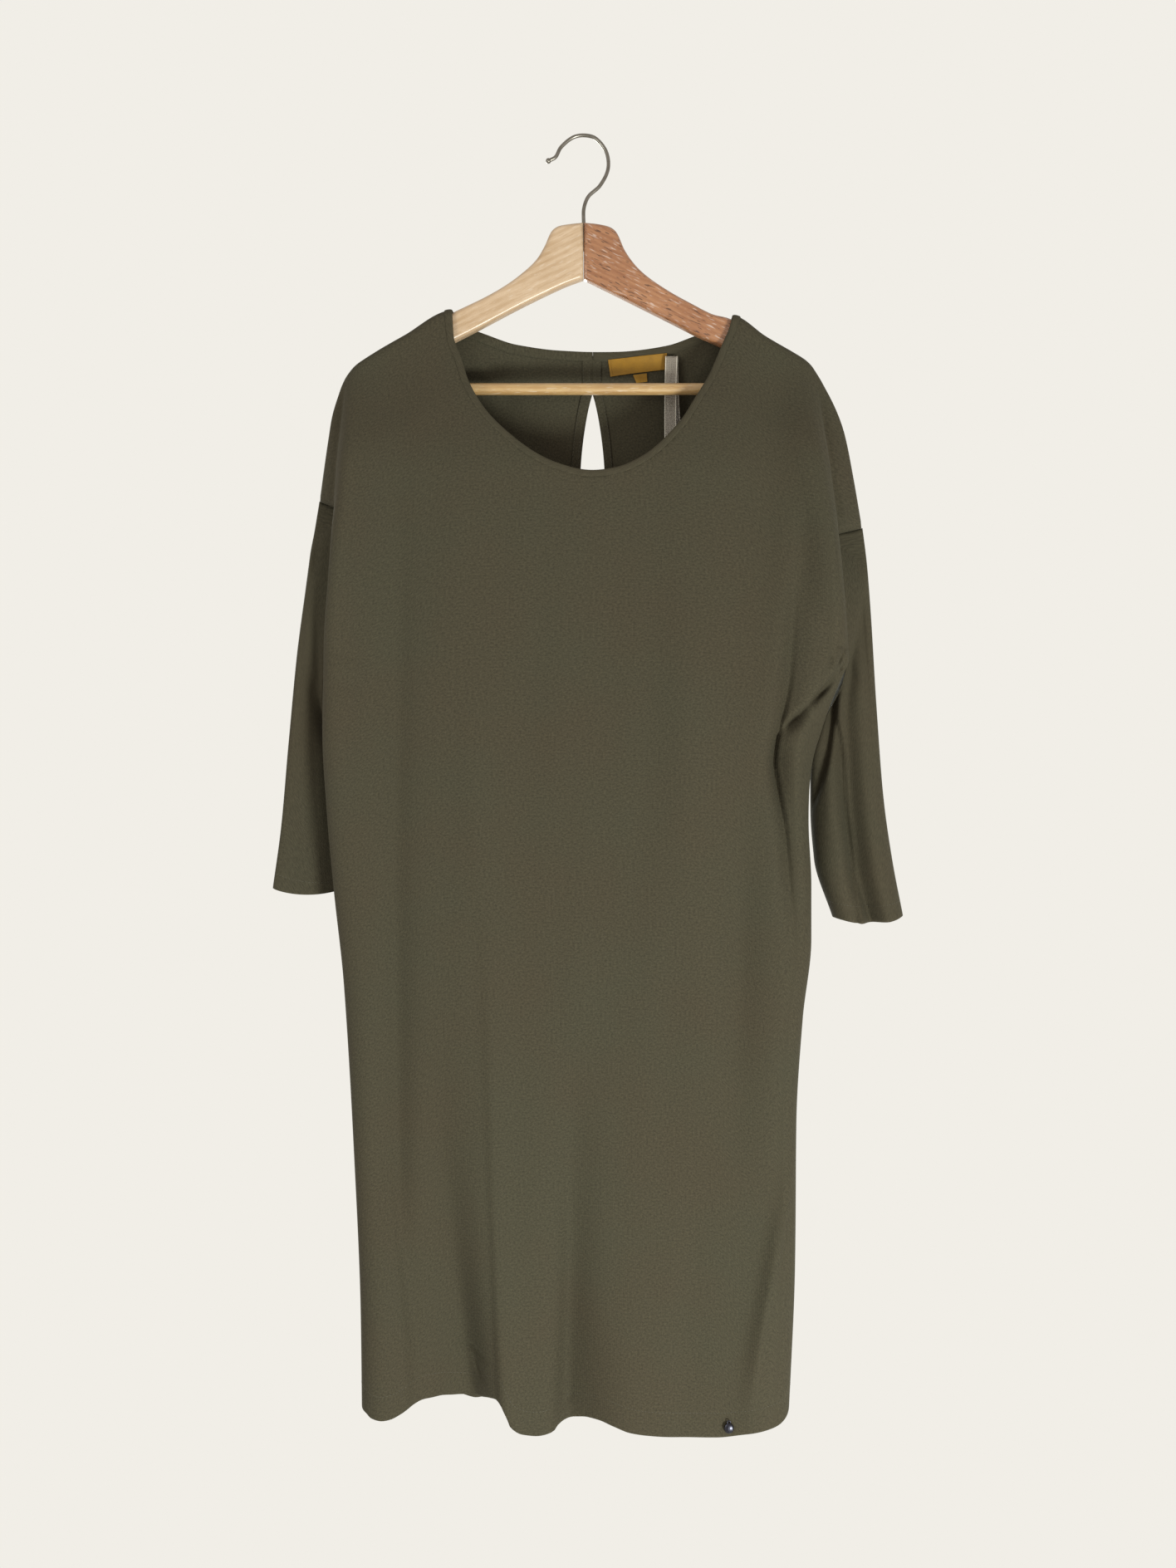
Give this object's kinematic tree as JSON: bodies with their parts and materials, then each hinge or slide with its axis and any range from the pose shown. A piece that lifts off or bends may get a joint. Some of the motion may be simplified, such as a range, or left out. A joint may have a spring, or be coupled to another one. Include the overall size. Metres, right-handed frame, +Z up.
{
  "type": "jersey dress on a wooden hanger",
  "caption": "Olive jersey dress with dropped shoulders, three-quarter sleeves and a scoop neck, hanging on a two-tone wooden hanger with a wire hook.",
  "frame": {"origin": "inner top of the hanger's hook, where it rests on a rail", "axes": "+X to the right as the front is seen, +Y to the back of the dress, +Z up"},
  "size_m": [0.5702, 0.0857, 1.1528],
  "materials": {
    "jersey": "matt viscose jersey",
    "woven_label": "woven satin tape",
    "sheer_ribbon": "sheer organza ribbon",
    "dark_metal": "dark plated metal",
    "pale_wood": "clear lacquered maple",
    "red_wood": "lacquered reddish hardwood",
    "wire": "bright nickel"
  },
  "bodies": {
    "root": {"front": "jersey", "back_left": "jersey", "back_right": "jersey", "sleeve_left": "jersey", "sleeve_right": "jersey", "neck_binding": "jersey", "label": "woven_label", "size_tab": "woven_label", "hanging_loop": "sheer_ribbon", "hem_bead": "dark_metal", "hanger_arm_left": "pale_wood", "hanger_arm_right": "red_wood", "hanger_bar": "pale_wood", "hanger_hook": "wire"}
  },
  "joints": []
}
